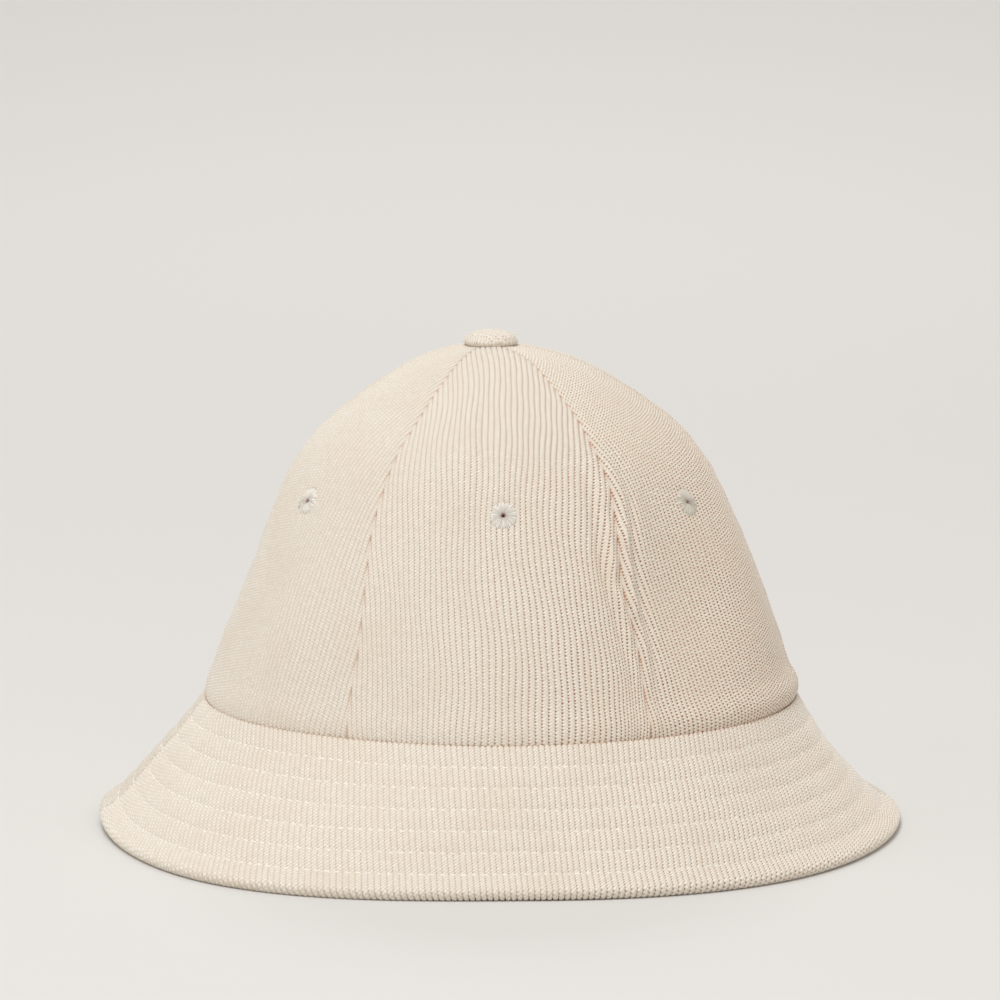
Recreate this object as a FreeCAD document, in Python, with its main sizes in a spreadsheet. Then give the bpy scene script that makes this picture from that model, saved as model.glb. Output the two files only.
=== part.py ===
"""Six-panel bucket hat, in millimetres: +Z up, front towards -Y, origin on the ground below the crown's centre.

The crown is six equal panels, each a sixth of one turned shell, with an embroidered eyelet in each and a covered
button on top. The brim is a cone of three layers (upper cloth, interlining, under cloth) in a front and a back half,
quilted by concentric rows of stitching. Inside are the seam tapes, the sweatband, the button's back and a care label.
"""
import FreeCAD, Part
import math
import os
import Sketcher

V = FreeCAD.Vector
GROUND_CENTRE = (-1, 1)      # a sketch's origin, as (geometry, point)
START, END, CENTRE = 1, 2, 3

# Driving dimensions: alias, value, meaning.
SIZES = [
    ("seam_radius", 96.0, "outside of the crown where the brim joins it"),
    ("brim_height", 41.0, "height of the crown seam above the ground"),
    ("brim_radius", 130.5, "outer edge of the brim, on the ground"),
    ("flare_length", 11.5, "straight flared run at the foot of the crown"),
    ("flare_angle", 16.0, "lean of that run from upright, degrees"),
    ("side_radius", 340.0, "bend radius of the crown's side"),
    ("side_turn", 10.9, "turn of the crown's side, degrees"),
    ("cloth", 1.2, "thickness of the corduroy"),
    ("apex_hole", 2.2, "radius left open at the top for the button's shank"),
    ("panel_angle", 60.0, "one crown panel, degrees"),
    ("ply_gap", 0.2, "air between cloth plies"),
    ("eyelet_turn", 10.3, "turn of the side from its foot to the eyelet, degrees"),
    ("eyelet_radius", 4.2, "outside of the embroidered eyelet"),
    ("eyelet_slot", 3.0, "hole in the cloth that the eyelet's thread fills"),
    ("eyelet_bore", 0.9, "open hole in the eyelet"),
    ("eyelet_stand", 0.5, "thread standing proud of the cloth"),
    ("tape_width", 11.0, "seam tape, across"),
    ("tape_cloth", 0.4, "seam tape, thickness"),
    ("tape_start", 11.0, "distance of the tape's top end from the axis"),
    ("button_radius", 8.8, "covered button"),
    ("button_rise", 4.7, "covered button, height"),
    ("button_rim", 1.8, "height of the button's straight rim"),
    ("button_cloth", 0.8, "cloth over the button's shell"),
    ("shell_sheet", 0.6, "sheet metal of the button's shell"),
    ("shank_radius", 1.6, "post that holds the button"),
    ("shank_length", 6.7, "post, from under the shell's dome to its riveted end"),
    ("washer_radius", 8.0, "washer that backs the button inside the crown"),
    ("washer_sheet", 0.8, "washer, thickness"),
    ("seam_gap", 0.5, "joint line between crown and brim"),
    ("brim_turn", 7.0, "turn of the brim's side seams from the crown's, degrees"),
    ("interlining", 0.9, "stiffener between the brim's two cloths"),
    ("edge_turn", 3.0, "height of the turned edge, which the stiffener stops above"),
    ("first_row", 7.6, "crown seam to the first stitch row, along the brim"),
    ("row_pitch", 7.3, "stitch row to stitch row, along the brim"),
    ("thread_radius", 0.3, "sewing thread"),
    ("band_height", 30.0, "sweatband"),
    ("band_cloth", 1.0, "sweatband, thickness"),
    ("band_lean", 17.2, "lean of the sweatband from upright, degrees"),
    ("band_gap", 1.2, "air between crown cloth and sweatband, where the tapes lie"),
    ("label_width", 30.0, "care label, along its sewn edge"),
    ("label_length", 42.0, "care label, from its sewn edge to its free end"),
    ("label_cloth", 0.4, "care label, thickness"),
    ("label_inset", 2.4, "sweatband's inner top edge to the label"),
]

PANEL_AZIMUTHS = {"front": -90, "front_right": -30, "back_right": 30, "back": 90, "back_left": 150, "front_left": -150}
SEAM_AZIMUTHS = {"front_right": -60, "right": 0, "back_right": 60, "back_left": 120, "left": 180, "front_left": -120}
STITCH_ROWS = 6

# The crown's curve, worked out from the driving dimensions: a straight flare, a side arc, and a dome arc that
# closes square to the axis.
DOME_FOOT = "(Sizes.flare_angle + Sizes.side_turn)"
DOME_FOOT_X = ("(Sizes.seam_radius - Sizes.flare_length * sin(Sizes.flare_angle)"
               f" + Sizes.side_radius * (cos{DOME_FOOT} - cos(Sizes.flare_angle)))")
DOME_FOOT_Z = ("(Sizes.brim_height + Sizes.flare_length * cos(Sizes.flare_angle)"
               f" + Sizes.side_radius * (sin{DOME_FOOT} - sin(Sizes.flare_angle)))")
DOME_RADIUS = f"({DOME_FOOT_X} / cos{DOME_FOOT})"
CROWN_TOP = f"({DOME_FOOT_Z} + {DOME_RADIUS} * (1 - sin{DOME_FOOT}))"
EYELET_TILT = "(Sizes.flare_angle + Sizes.eyelet_turn)"
EYELET_X = ("(Sizes.seam_radius - Sizes.flare_length * sin(Sizes.flare_angle)"
            f" + Sizes.side_radius * (cos{EYELET_TILT} - cos(Sizes.flare_angle)))")
EYELET_Z = ("(Sizes.brim_height + Sizes.flare_length * cos(Sizes.flare_angle)"
            f" + Sizes.side_radius * (sin{EYELET_TILT} - sin(Sizes.flare_angle)))")

# The brim's slope, and the width on the ground of a ply laid along it.
BRIM_SLOPE = "atan(Sizes.brim_height / (Sizes.brim_radius - Sizes.seam_radius))"
PLY_WIDTH = f"(Sizes.cloth / sin({BRIM_SLOPE}))"
STIFF_WIDTH = f"(Sizes.interlining / sin({BRIM_SLOPE}))"

doc = FreeCAD.newDocument("BucketHat")
sheet = doc.addObject("Spreadsheet::Sheet", "Sizes")
for row, (alias, value, meaning) in enumerate(SIZES, start=1):
    sheet.set(f"A{row}", alias)
    sheet.set(f"B{row}", str(value))
    sheet.set(f"C{row}", meaning)
    sheet.setAlias(f"B{row}", alias)
doc.recompute()
size = {alias: value for alias, value, meaning in SIZES}
sub_parts = []


def new_body(name, azimuth=0):
    """A body whose own X direction is turned to the azimuth, counted from +X towards +Y."""
    body = doc.addObject("PartDesign::Body", name)
    body.Label = name
    body.Placement = FreeCAD.Placement(V(0, 0, 0), FreeCAD.Rotation(V(0, 0, 1), azimuth))
    sub_parts.append(body)
    return body


def new_sketch(body, role, name):
    """A sketch on one of the body's own origin planes. On XZ_Plane its x and y are the body's X and Z."""
    sketch = body.newObject("Sketcher::SketchObject", f"{body.Name}_{name}")
    plane = next(item for item in body.Origin.OriginFeatures if item.Role == role)
    sketch.AttachmentSupport = [(plane, "")]
    sketch.MapMode = "FlatFace"
    return sketch


def bind(sketch, name, constraint, formula):
    """Add a named constraint that follows the formula."""
    index = sketch.addConstraint(constraint)
    sketch.renameConstraint(index, name)
    sketch.setExpression(f"Constraints.{name}", formula)


def place(sketch, name, point, x=None, y=None):
    """Tie a point, as (geometry, point), to the sketch's origin by formulas for x and y."""
    rough = sketch.getPoint(*point)
    if x is not None:
        bind(sketch, f"{name}X", Sketcher.Constraint("DistanceX", *GROUND_CENTRE, *point, rough.x), x)
    if y is not None:
        bind(sketch, f"{name}Y", Sketcher.Constraint("DistanceY", *GROUND_CENTRE, *point, rough.y), y)


def closed_lines(sketch, corners):
    """A closed run of straight lines through rough corners; the constraints then set their true places."""
    points = [V(x, y, 0) for x, y in corners]
    for here, there in zip(points, points[1:] + points[:1]):
        sketch.addGeometry(Part.LineSegment(here, there), False)
    count = len(points)
    for line in range(count):
        sketch.addConstraint(Sketcher.Constraint("Coincident", line, END, (line + 1) % count, START))


def turn(body, sketch, angle, midplane=False):
    """Revolve the sketch about its own vertical axis."""
    revolution = body.newObject("PartDesign::Revolution", f"{body.Name}_turned")
    revolution.Profile = sketch
    revolution.ReferenceAxis = (sketch, ["V_Axis"])
    revolution.Angle = angle
    revolution.Midplane = midplane
    return revolution


def crown_curve(sketch, depth, thickness, top_radius):
    """The section of a ply that lies at a depth below the crown's outer surface, from the seam to near the axis.

    Outer run: flare 0, side arc 1, dome arc 2. Then the top end 3, and back: dome 4, side 5, flare 6, foot 7.
    """
    lean = math.radians(size["flare_angle"])
    dome_foot = math.radians(size["flare_angle"] + size["side_turn"])
    out_x, out_y = math.cos(lean), math.sin(lean)
    seam = V(size["seam_radius"], size["brim_height"], 0)
    flare_top = seam + V(-out_y, out_x, 0) * size["flare_length"]
    side_centre = flare_top - V(out_x, out_y, 0) * size["side_radius"]
    side_top = side_centre + V(math.cos(dome_foot), math.sin(dome_foot), 0) * size["side_radius"]
    dome_radius = side_top.x / math.cos(dome_foot)
    dome_centre = V(0, side_top.y - dome_radius * math.sin(dome_foot), 0)

    def on_arc(centre, radius, angle):
        return centre + V(math.cos(angle), math.sin(angle), 0) * radius

    def arc(centre, radius, start, end):
        return Part.ArcOfCircle(Part.Circle(centre, V(0, 0, 1), radius), start, end)

    deep = size["ply_gap"]
    thin = size["tape_cloth"]
    top_angle = math.acos(size["tape_start"] / dome_radius)
    outer, inner = -deep, -deep - thin
    foot = {step: seam + V(out_x, out_y, 0) * step for step in (outer, inner)}
    top = {step: on_arc(dome_centre, dome_radius + step, top_angle) for step in (outer, inner)}
    side_foot = {step: on_arc(side_centre, size["side_radius"] + step, lean) for step in (outer, inner)}
    shapes = [
        Part.LineSegment(foot[outer], side_foot[outer]),
        arc(side_centre, size["side_radius"] + outer, lean, dome_foot),
        arc(dome_centre, dome_radius + outer, dome_foot, top_angle),
        Part.LineSegment(top[outer], top[inner]),
        arc(dome_centre, dome_radius + inner, dome_foot, top_angle),
        arc(side_centre, size["side_radius"] + inner, lean, dome_foot),
        Part.LineSegment(side_foot[inner], foot[inner]),
        Part.LineSegment(foot[inner], foot[outer]),
    ]
    sketch.addGeometry(shapes, False)
    for first, its_end, second, its_start in [(0, END, 1, START), (1, END, 2, START), (4, START, 5, END),
                                              (5, START, 6, START)]:
        sketch.addConstraint(Sketcher.Constraint("Tangent", first, its_end, second, its_start))
    for first, its_end, second, its_start in [(2, END, 3, START), (3, END, 4, END), (6, END, 7, START),
                                              (7, END, 0, START), (1, CENTRE, 5, CENTRE), (2, CENTRE, 4, CENTRE)]:
        sketch.addConstraint(Sketcher.Constraint("Coincident", first, its_end, second, its_start))
    sketch.addConstraint(Sketcher.Constraint("Horizontal", 7))
    sketch.addConstraint(Sketcher.Constraint("Vertical", 3))
    place(sketch, "Foot", (0, START), f"Sizes.seam_radius - ({depth}) / cos(Sizes.flare_angle)", "Sizes.brim_height")
    place(sketch, "SideFoot", (1, START), y="Sizes.brim_height + Sizes.flare_length * cos(Sizes.flare_angle)"
          f" - ({depth}) * sin(Sizes.flare_angle)")
    bind(sketch, "Lean", Sketcher.Constraint("Angle", -1, START, 0, START, math.pi / 2 + lean),
         "90 + Sizes.flare_angle")
    bind(sketch, "SideRadius", Sketcher.Constraint("Radius", 1, size["side_radius"]),
         f"Sizes.side_radius - ({depth})")
    bind(sketch, "DomeRadius", Sketcher.Constraint("Radius", 2, dome_radius), f"{DOME_RADIUS} - ({depth})")
    bind(sketch, "InnerRadius", Sketcher.Constraint("Radius", 4, dome_radius - thin),
         f"{DOME_RADIUS} - ({depth}) - ({thickness})")
    sketch.addConstraint(Sketcher.Constraint("PointOnObject", 2, CENTRE, -2))
    place(sketch, "Top", (2, END), x=top_radius)


def sloped_ply(sketch, outside, width, bottom, top):
    """The section of a brim ply: a strip along the brim's slope, cut level at its foot and its top."""
    run = size["brim_radius"] - size["seam_radius"]
    rough = [(size["brim_radius"], 1), (size["brim_radius"] - run, size["brim_height"]),
             (size["brim_radius"] - run - 2, size["brim_height"]), (size["brim_radius"] - 2, 1)]
    closed_lines(sketch, rough)
    for line in (1, 3):
        sketch.addConstraint(Sketcher.Constraint("Horizontal", line))
    sketch.addConstraint(Sketcher.Constraint("Parallel", 0, 2))
    place(sketch, "Foot", (0, START), f"{outside} - ({bottom}) / tan({BRIM_SLOPE})", bottom)
    place(sketch, "Head", (0, END), f"{outside} - ({top}) / tan({BRIM_SLOPE})", top)
    bind(sketch, "Width", Sketcher.Constraint("DistanceX", 3, START, 3, END, 2.0), width)


def box_section(sketch, corners, inner_x, outer_x, low_y, high_y):
    """A rectangle between formulas for its sides, starting from rough corners."""
    closed_lines(sketch, corners)
    for line in (0, 2):
        sketch.addConstraint(Sketcher.Constraint("Horizontal", line))
    for line in (1, 3):
        sketch.addConstraint(Sketcher.Constraint("Vertical", line))
    place(sketch, "Low", (0, START), inner_x, low_y)
    place(sketch, "High", (1, END), outer_x, high_y)


def eyelet_sketch(body, name):
    """A sketch whose vertical axis stands square on the panel at the eyelet."""
    sketch = new_sketch(body, "XZ_Plane", name)
    sketch.setExpression(".AttachmentOffset.Base.x", EYELET_X)
    sketch.setExpression(".AttachmentOffset.Base.y", EYELET_Z)
    sketch.setExpression(".AttachmentOffset.Rotation.Angle", f"90 - {EYELET_TILT}")
    sketch.AttachmentOffset = FreeCAD.Placement(V(1, 1, 0), FreeCAD.Rotation(V(0, 0, -1), 1))
    return sketch


def make_panel(place_name, azimuth):
    body = new_body(f"crown_panel_{place_name}", azimuth)
    section = new_sketch(body, "XZ_Plane", "section")
    crown_curve(section, "0", "Sizes.cloth", "Sizes.apex_hole")
    turned = turn(body, section, size["panel_angle"], midplane=True)
    turned.setExpression("Angle", "Sizes.panel_angle")
    doc.recompute()
    before = turned.Shape.Volume
    hole = eyelet_sketch(body, "hole")
    depth = size["cloth"]
    corners = [(0, -depth), (2, -depth), (2, depth), (0, depth)]
    box_section(hole, corners, "0", "Sizes.eyelet_slot", "-3 * Sizes.cloth", "3 * Sizes.cloth")
    groove = body.newObject("PartDesign::Groove", f"{body.Name}_eyelet_hole")
    groove.Profile = hole
    groove.ReferenceAxis = (hole, ["V_Axis"])
    groove.Angle = 360
    doc.recompute()
    if not groove.Shape.Volume < before:
        raise RuntimeError(f"{body.Label}: the eyelet's hole cuts nothing")


def make_eyelet(place_name, azimuth):
    """Thread wound through the cloth's hole: a spool section, with a flange outside and one inside."""
    body = new_body(f"eyelet_{place_name}", azimuth)
    section = eyelet_sketch(body, "section")
    closed_lines(section, [(1, -2), (4, -2), (4, -1.5), (3, -1.5), (3, 0.2), (4, 0.2), (4, 1), (1, 1)])
    for line in (0, 2, 4, 6):
        section.addConstraint(Sketcher.Constraint("Horizontal", line))
    for line in (1, 3, 5, 7):
        section.addConstraint(Sketcher.Constraint("Vertical", line))
    inner_face = "-Sizes.cloth - Sizes.ply_gap"
    place(section, "Inside", (0, START), "Sizes.eyelet_bore", f"{inner_face} - Sizes.eyelet_stand")
    place(section, "InnerFlange", (1, END), "Sizes.eyelet_radius", inner_face)
    place(section, "OuterFlange", (5, END), "Sizes.eyelet_radius", "Sizes.eyelet_stand")
    place(section, "Slot", (3, END), "Sizes.eyelet_slot", "0")
    turn(body, section, 360)


def make_seam_tape(place_name, azimuth):
    """A straight strip folded down the inside of a crown seam."""
    body = new_body(f"seam_tape_{place_name}", azimuth)
    section = new_sketch(body, "XZ_Plane", "section")
    crown_curve(section, "Sizes.cloth + Sizes.ply_gap", "Sizes.tape_cloth", "Sizes.tape_start")
    pad = body.newObject("PartDesign::Pad", f"{body.Name}_strip")
    pad.Profile = section
    pad.Midplane = True
    pad.setExpression("Length", "Sizes.tape_width")


def on_crown_top(body):
    """A section sketch whose origin is the top of the crown."""
    section = new_sketch(body, "XZ_Plane", "section")
    section.AttachmentOffset = FreeCAD.Placement(V(0, 1, 0), FreeCAD.Rotation())
    section.setExpression(".AttachmentOffset.Base.y", CROWN_TOP)
    return section


def make_button_cap(name, inset, sheet_name):
    """A domed cup, open below, lying at an inset inside the button's outline."""
    body = new_body(name)
    section = on_crown_top(body)
    radius, rim, rise = size["button_radius"], size["button_rim"], size["button_rise"]

    def dome(edge_radius, top):
        """The arc from the rim up to the axis, centred on the axis."""
        centre_y = (top**2 - rim**2 - edge_radius**2) / (2 * (top - rim))
        start = math.atan2(rim - centre_y, edge_radius)
        return Part.ArcOfCircle(Part.Circle(V(0, centre_y, 0), V(0, 0, 1), top - centre_y), start, math.pi / 2)

    section.addGeometry([
        Part.LineSegment(V(radius, 0, 0), V(radius, rim, 0)),
        dome(radius, rise),
        Part.LineSegment(V(0, rise, 0), V(0, rise - 1, 0)),
        dome(radius - 1, rise - 1),
        Part.LineSegment(V(radius - 1, rim, 0), V(radius - 1, 0, 0)),
        Part.LineSegment(V(radius - 1, 0, 0), V(radius, 0, 0)),
    ], False)
    for first, its_end, second, its_start in [(0, END, 1, START), (1, END, 2, START), (2, END, 3, END),
                                              (3, START, 4, START), (4, END, 5, START), (5, END, 0, START)]:
        section.addConstraint(Sketcher.Constraint("Coincident", first, its_end, second, its_start))
    for line in (0, 2, 4):
        section.addConstraint(Sketcher.Constraint("Vertical", line))
    section.addConstraint(Sketcher.Constraint("Horizontal", 5))
    for arc in (1, 3):
        section.addConstraint(Sketcher.Constraint("PointOnObject", arc, CENTRE, -2))
    place(section, "Foot", (0, START), f"Sizes.button_radius - ({inset})", "0")
    place(section, "Rim", (0, END), y="Sizes.button_rim")
    place(section, "InnerRim", (4, START), f"Sizes.button_radius - ({inset}) - {sheet_name}", "Sizes.button_rim")
    place(section, "Top", (1, END), "0", f"Sizes.button_rise - ({inset})")
    place(section, "Under", (2, END), y=f"Sizes.button_rise - ({inset}) - {sheet_name}")
    turn(body, section, 360)


def make_button():
    """Cloth cover over a metal shell, on a post that is riveted to a washer inside the crown."""
    make_button_cap("button_cover", "0.0", "Sizes.button_cloth")
    make_button_cap("button_shell", "Sizes.button_cloth + Sizes.ply_gap", "Sizes.shell_sheet")
    under_shell = "Sizes.button_rise - Sizes.button_cloth - Sizes.ply_gap - Sizes.shell_sheet"
    radius = size["shank_radius"]

    shank = new_body("button_shank")
    section = on_crown_top(shank)
    box_section(section, [(0, -3), (radius, -3), (radius, 3), (0, 3)],
                "0", "Sizes.shank_radius", f"{under_shell} - Sizes.shank_length", under_shell)
    turn(shank, section, 360)

    washer = new_body("button_washer")
    section = on_crown_top(washer)
    box_section(section, [(radius, -5), (8, -5), (8, -4), (radius, -4)], "Sizes.shank_radius",
                "Sizes.washer_radius", f"{under_shell} - Sizes.shank_length + Sizes.shell_sheet",
                f"{under_shell} - Sizes.shank_length + Sizes.shell_sheet + Sizes.washer_sheet")
    turn(washer, section, 360)


def make_brim_half(half, azimuth):
    """Upper cloth, interlining and under cloth of one half, joined to the other half near the hat's sides."""
    plies = [
        ("upper", "Sizes.brim_radius", PLY_WIDTH, "0"),
        ("interlining", f"Sizes.brim_radius - {PLY_WIDTH}", STIFF_WIDTH, "Sizes.edge_turn"),
        ("under", f"Sizes.brim_radius - {PLY_WIDTH} - {STIFF_WIDTH}", PLY_WIDTH, "0"),
    ]
    for ply, outside, width, bottom in plies:
        body = new_body(f"brim_{ply}_{half}", azimuth)
        section = new_sketch(body, "XZ_Plane", "section")
        sloped_ply(section, outside, width, bottom, "Sizes.brim_height - Sizes.seam_gap")
        turn(body, section, 180, midplane=True)


def make_stitch_row(row):
    """One ring of thread lying on the brim's upper cloth."""
    body = new_body(f"brim_stitch_row_{row + 1}")
    section = new_sketch(body, "XZ_Plane", "section")
    run = f"(Sizes.first_row + {row} * Sizes.row_pitch)"
    section.addGeometry(Part.Circle(V(size["brim_radius"], 1, 0), V(0, 0, 1), size["thread_radius"]), False)
    bind(section, "Thread", Sketcher.Constraint("Radius", 0, size["thread_radius"]), "Sizes.thread_radius")
    place(section, "Row", (0, CENTRE),
          f"Sizes.seam_radius + {run} * cos({BRIM_SLOPE}) + Sizes.thread_radius * sin({BRIM_SLOPE})",
          f"Sizes.brim_height - {run} * sin({BRIM_SLOPE}) + Sizes.thread_radius * cos({BRIM_SLOPE})")
    turn(body, section, 360)


def make_sweatband():
    """A cloth band that leans in with the foot of the crown, sewn at the crown seam."""
    body = new_body("sweatband")
    section = new_sketch(body, "XZ_Plane", "section")
    low, high = size["brim_height"], size["brim_height"] + size["band_height"]
    closed_lines(section, [(92, low), (83, high), (82, high), (91, low)])
    for line in (1, 3):
        section.addConstraint(Sketcher.Constraint("Horizontal", line))
    section.addConstraint(Sketcher.Constraint("Parallel", 0, 2))
    outside = "Sizes.seam_radius - (Sizes.cloth + Sizes.band_gap) / cos(Sizes.band_lean)"
    place(section, "Foot", (0, START), outside, "Sizes.brim_height")
    place(section, "Head", (0, END), f"{outside} - Sizes.band_height * tan(Sizes.band_lean)",
          "Sizes.brim_height + Sizes.band_height")
    bind(section, "Width", Sketcher.Constraint("DistanceX", 3, START, 3, END, 1.0),
         "Sizes.band_cloth / cos(Sizes.band_lean)")
    turn(body, section, 360)


def make_care_label():
    """A blank woven label that hangs from the sweatband's top edge at the back, free to swing about that edge."""
    label = doc.addObject("Part::Box", "care_label")
    label.Label = "care_label"
    label.setExpression("Length", "Sizes.label_width")
    label.setExpression("Width", "Sizes.label_cloth")
    label.setExpression("Height", "Sizes.label_length")
    inner_top = ("(Sizes.seam_radius - (Sizes.cloth + Sizes.band_gap + Sizes.band_cloth) / cos(Sizes.band_lean)"
                 " - Sizes.band_height * tan(Sizes.band_lean))")
    label.setExpression(".Placement.Base.x", "-Sizes.label_width / 2")
    label.setExpression(".Placement.Base.y", f"{inner_top} - Sizes.label_inset - Sizes.label_cloth / 2")
    label.setExpression(".Placement.Base.z", "Sizes.brim_height + Sizes.band_height - Sizes.label_length")
    sub_parts.append(label)


for panel_name, panel_azimuth in PANEL_AZIMUTHS.items():
    make_panel(panel_name, panel_azimuth)
    make_eyelet(panel_name, panel_azimuth)
for seam_name, seam_azimuth in SEAM_AZIMUTHS.items():
    make_seam_tape(seam_name, seam_azimuth)
make_button()
make_brim_half("front", -90 + size["brim_turn"])
make_brim_half("back", 90 + size["brim_turn"])
for stitch_row in range(STITCH_ROWS):
    make_stitch_row(stitch_row)
make_sweatband()
make_care_label()
doc.recompute()

for item in doc.Objects:
    if "Invalid" in item.State or "Error" in item.State:
        raise RuntimeError(f"{item.Label}: {item.State}")
os.makedirs("parts", exist_ok=True)
for part in sub_parts:
    if part.Shape.isNull() or not part.Shape.isValid():
        raise RuntimeError(f"{part.Label}: its shape is null or not valid")
    part.Shape.exportStep(f"parts/{part.Label}.step")
    box = part.Shape.BoundBox
    print(f"{part.Label}: {part.Shape.Volume:.0f} mm3, x {box.XMin:.1f}..{box.XMax:.1f},"
          f" y {box.YMin:.1f}..{box.YMax:.1f}, z {box.ZMin:.1f}..{box.ZMax:.1f}")
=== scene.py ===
"""Looks of the corduroy bucket hat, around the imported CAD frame.

Every cloth piece is a grid laid out on the flat cloth: its columns run along the wales, so each ridge and
groove of the corduroy is in the mesh, and the grid is clipped where the cloth ends at a seam. Lengths are in
metres.
"""
import math
import bpy
import numpy as np
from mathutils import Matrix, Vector


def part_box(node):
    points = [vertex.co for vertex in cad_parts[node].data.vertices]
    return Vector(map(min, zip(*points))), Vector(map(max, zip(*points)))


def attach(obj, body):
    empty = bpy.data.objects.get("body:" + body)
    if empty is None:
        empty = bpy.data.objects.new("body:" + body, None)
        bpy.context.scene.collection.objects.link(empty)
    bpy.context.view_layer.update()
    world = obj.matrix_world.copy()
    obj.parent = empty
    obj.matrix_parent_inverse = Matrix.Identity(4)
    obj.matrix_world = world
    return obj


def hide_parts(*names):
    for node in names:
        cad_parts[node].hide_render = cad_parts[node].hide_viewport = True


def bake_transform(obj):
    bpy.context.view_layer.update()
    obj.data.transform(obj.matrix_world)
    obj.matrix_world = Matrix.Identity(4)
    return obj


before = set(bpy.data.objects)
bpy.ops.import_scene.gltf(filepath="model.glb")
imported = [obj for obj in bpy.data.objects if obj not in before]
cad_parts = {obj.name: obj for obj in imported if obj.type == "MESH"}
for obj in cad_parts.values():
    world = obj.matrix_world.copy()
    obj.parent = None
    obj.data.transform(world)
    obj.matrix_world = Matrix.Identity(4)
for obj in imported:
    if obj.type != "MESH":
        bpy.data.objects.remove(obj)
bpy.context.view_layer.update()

MM = 0.001
HAT = "hat"
TINY = 1e-9                   # lengths that differ by less are the same

# Places and sizes that the CAD frame gives.
PANEL_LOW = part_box("crown_panel_front")[0]
BRIM_LOW, BRIM_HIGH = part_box("brim_upper_front")
SEAM_RADIUS = -PANEL_LOW.y
SEAM_HEIGHT = PANEL_LOW.z
BRIM_TWIST = math.asin(-BRIM_HIGH.y / BRIM_LOW.y)    # the brim's side seams are turned from the crown's

# The crown's curve, as the CAD draws it: a flare, a side arc and a dome arc.
FLARE_LENGTH = 11.5 * MM
FLARE_LEAN = math.radians(16)
SIDE_RADIUS = 340 * MM
SIDE_TURN = math.radians(10.9)

# Corduroy.
WALE = 1.78 * MM
WALE_RISE = 0.4 * MM
CLOTH = 1.2 * MM
BEADS = 1.75                 # beads of ground weave along a groove, in each wale's width
WALE_STEPS = (0.0, 0.13, 0.31, 0.5, 0.69, 0.87)

PANELS = {"front": 0, "front_right": 60, "back_right": 120, "back": 180, "back_left": -120, "front_left": -60}
SEAMS = {"front_right": 30, "right": 90, "back_right": 150, "back_left": -150, "left": -90, "front_left": -30}
CROWN_TWIST = math.radians(-2)      # the worn crown stands a little turned
APEX_GAP = 2.2 * MM                 # the panels start this far from the apex, under the button
APEX_LEAN = -3 * MM                 # the very top leans to the wearer's right

rng = np.random.default_rng(7)


def bell(x, width):
    """A smooth bump of height 1 and the given half-width."""
    return np.exp(-(x / width) ** 2)


def smooth(x):
    """0 to 1 with level ends, for x from 0 to 1."""
    x = np.clip(x, 0, 1)
    return x * x * (3 - 2 * x)


# ---------------- curves

class Curve:
    """A profile in the (radius, height) plane, read by its running length, with its outward normal."""

    def __init__(self, radius, height):
        self.run = np.concatenate([[0], np.cumsum(np.hypot(np.diff(radius), np.diff(height)))])
        self.radius, self.height = radius, height
        along_r, along_z = np.gradient(radius, self.run), np.gradient(height, self.run)
        length = np.hypot(along_r, along_z)
        self.out_r, self.out_z = -along_z / length, along_r / length
        self.length = self.run[-1]

    def at(self, run):
        """Radius, height and the two parts of the outward normal."""
        columns = (self.radius, self.height, self.out_r, self.out_z)
        return [np.interp(run, self.run, column) for column in columns]

    def run_at_radius(self, radius):
        """The run at a radius, on a curve that widens all the way."""
        return np.interp(radius, self.radius, self.run)


def arc_points(centre, radius, start, end, count=120):
    """Radii and heights of points along an arc."""
    angles = np.linspace(start, end, count)
    return centre[0] + radius * np.cos(angles), centre[1] + radius * np.sin(angles)


def crown_curve():
    """From the apex down to the crown seam."""
    foot = FLARE_LEAN + SIDE_TURN
    side_centre = (SEAM_RADIUS - FLARE_LENGTH * math.sin(FLARE_LEAN) - SIDE_RADIUS * math.cos(FLARE_LEAN),
                   SEAM_HEIGHT + FLARE_LENGTH * math.cos(FLARE_LEAN) - SIDE_RADIUS * math.sin(FLARE_LEAN))
    dome_foot = (side_centre[0] + SIDE_RADIUS * math.cos(foot), side_centre[1] + SIDE_RADIUS * math.sin(foot))
    dome_radius = dome_foot[0] / math.cos(foot)
    dome = arc_points((0, dome_foot[1] - dome_radius * math.sin(foot)), dome_radius, math.pi / 2, foot)
    side = arc_points(side_centre, SIDE_RADIUS, foot, FLARE_LEAN)
    radius = np.concatenate([dome[0], side[0][1:], [SEAM_RADIUS]])
    height = np.concatenate([dome[1], side[1][1:], [SEAM_HEIGHT]])
    return Curve(radius, height)


BRIM_RUN = 49.6 * MM         # crown seam to the start of the rolled edge
BRIM_FLARE = 11 * MM         # the last stretch, which turns out flatter
FLARE_EASE = math.radians(17)
EDGE_ROLL = 1.6 * MM         # radius of the turned edge
EDGE_CLEARANCE = 0.75 * MM   # the wales stand this far proud below the edge


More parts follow.
